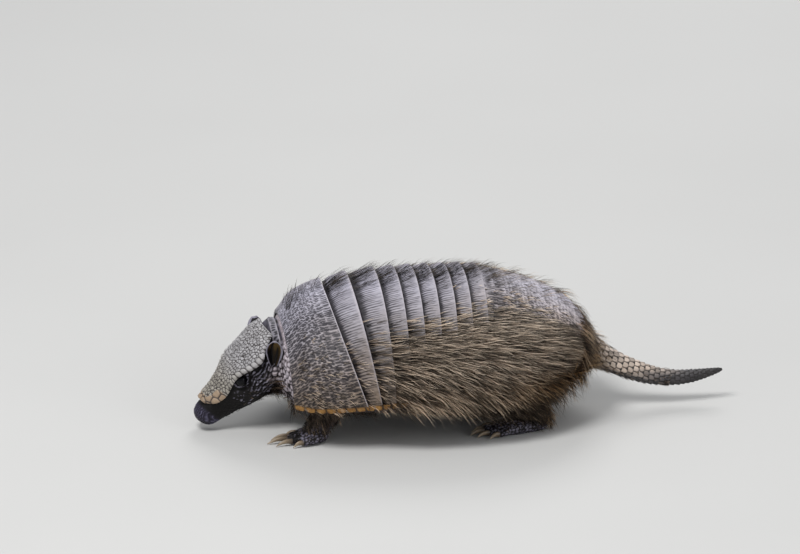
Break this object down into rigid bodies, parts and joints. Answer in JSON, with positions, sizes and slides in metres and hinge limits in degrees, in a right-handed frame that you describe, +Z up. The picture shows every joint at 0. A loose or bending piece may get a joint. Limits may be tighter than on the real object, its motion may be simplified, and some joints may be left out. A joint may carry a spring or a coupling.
{
  "type": "big hairy armadillo",
  "caption": "Life-size big hairy armadillo, walking with its head down: plated head, banded shell, hairy flanks, clawed feet and scaly tail.",
  "frame": {"origin": "on the ground, below the middle of the overall box", "axes": "the animal faces -X, +Y is its right side, +Z is up"},
  "size_m": [0.4282, 0.1696, 0.1273],
  "materials": {
    "shell_horn": "dull horn over bone, dark scutes with pale grey edges",
    "head_horn": "dull horn over bone, grey-beige scutes with paler outlines, tan towards the nose",
    "margin_horn": "smooth ochre horn of the scutes along the shell's lower edge",
    "skin": "dark wrinkled skin with small pale tubercles",
    "tail_skin": "overlapping tan-grey scutes, nearly black towards the tip",
    "claw_horn": "smooth grey-brown horn, darker at the root",
    "eye": "wet, nearly black",
    "hair": "stiff bristles, dark at the root and tan towards the tip"
  },
  "bodies": {
    "root": {"trunk": "skin", "back_bristles": "hair", "neck": "skin", "head": "skin", "ear_left": "skin", "ear_right": "skin", "scapular_shield": "shell_horn", "band_1": "shell_horn", "band_2": "shell_horn", "band_3": "shell_horn", "band_4": "shell_horn", "band_5": "shell_horn", "band_6": "shell_horn", "band_7": "shell_horn", "band_8": "shell_horn", "pelvic_shield": "shell_horn", "nuchal_band": "shell_horn", "head_shield": "head_horn", "eye_left": "eye", "eye_right": "eye", "tail_root": "tail_skin", "tail_middle": "tail_skin", "tail_tip": "tail_skin", "foreleg_left": "skin", "foreleg_left_claw_1": "claw_horn", "foreleg_left_claw_2": "claw_horn", "foreleg_left_claw_3": "claw_horn", "foreleg_left_claw_4": "claw_horn", "foreleg_left_claw_5": "claw_horn", "foreleg_right": "skin", "foreleg_right_claw_1": "claw_horn", "foreleg_right_claw_2": "claw_horn", "foreleg_right_claw_3": "claw_horn", "foreleg_right_claw_4": "claw_horn", "foreleg_right_claw_5": "claw_horn", "hindleg_left": "skin", "hindleg_left_claw_1": "claw_horn", "hindleg_left_claw_2": "claw_horn", "hindleg_left_claw_3": "claw_horn", "hindleg_left_claw_4": "claw_horn", "hindleg_left_claw_5": "claw_horn", "hindleg_right": "skin", "hindleg_right_claw_1": "claw_horn", "hindleg_right_claw_2": "claw_horn", "hindleg_right_claw_3": "claw_horn", "hindleg_right_claw_4": "claw_horn", "hindleg_right_claw_5": "claw_horn"}
  },
  "joints": []
}
